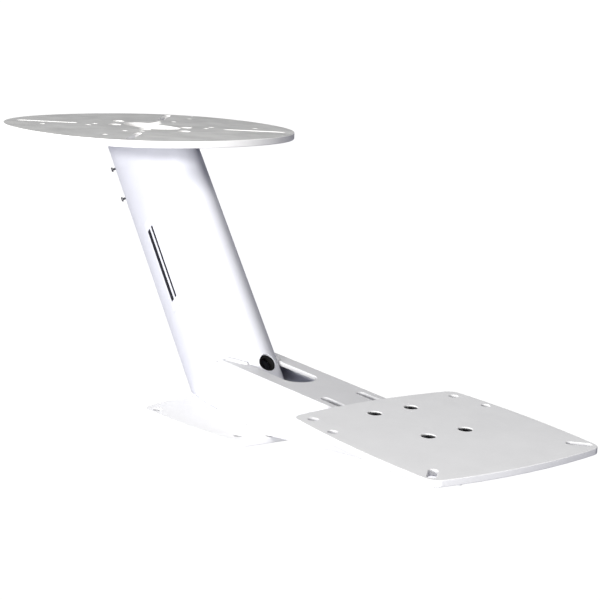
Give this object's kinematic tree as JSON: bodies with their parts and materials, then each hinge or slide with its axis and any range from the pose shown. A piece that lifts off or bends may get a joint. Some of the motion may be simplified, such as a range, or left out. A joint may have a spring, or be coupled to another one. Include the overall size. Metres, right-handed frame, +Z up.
{
  "type": "dual antenna mounting tower",
  "caption": "Raked oval mast on a deck plate with a round upper platform and a welded arm whose square lower platform slides along slots, for fixing boat antennas",
  "frame": {"origin": "the centre of the deck plate's underside, where the mount meets the deck", "axes": "+X from the mast along the arm to the lower platform, +Y across the arm, +Z up"},
  "size_m": [1.0637, 0.4236, 0.376],
  "materials": {
    "deck_paint": "white powder coat, satin",
    "mast_paint": "white powder coat, satin",
    "arm_paint": "white powder coat, satin",
    "platform_paint": "white powder coat, satin",
    "head_alloy": "cast",
    "steel": "plain",
    "black_steel": "black oxide",
    "rubber": "matt",
    "film": "satin film"
  },
  "bodies": {
    "mount": {"deck_plate": "deck_paint", "mast_column": "mast_paint", "mast_head": "head_alloy", "mast_set_screw_1": "steel", "mast_set_screw_2": "steel", "cable_grommet": "rubber", "blank_label": "film", "upper_platform": "platform_paint", "platform_screw_1": "steel", "platform_screw_2": "steel", "platform_screw_3": "steel", "platform_screw_4": "steel", "platform_screw_5": "steel", "platform_screw_6": "steel", "arm_top": "arm_paint", "arm_web_near": "arm_paint", "arm_web_far": "arm_paint", "arm_end_plate": "arm_paint"},
    "lower_carriage": {"lower_platform": "platform_paint", "lower_platform_bolt_1": "black_steel", "lower_platform_bolt_2": "black_steel", "lower_platform_bolt_3": "black_steel", "lower_platform_bolt_4": "black_steel", "nut_bar_near": "steel", "nut_bar_far": "steel"}
  },
  "joints": [
    {"name": "lower_platform_slide", "type": "slide", "parent": "mount", "child": "lower_carriage", "axis": [1, 0, 0], "range_m": [-0.095, 0.012]}
  ]
}
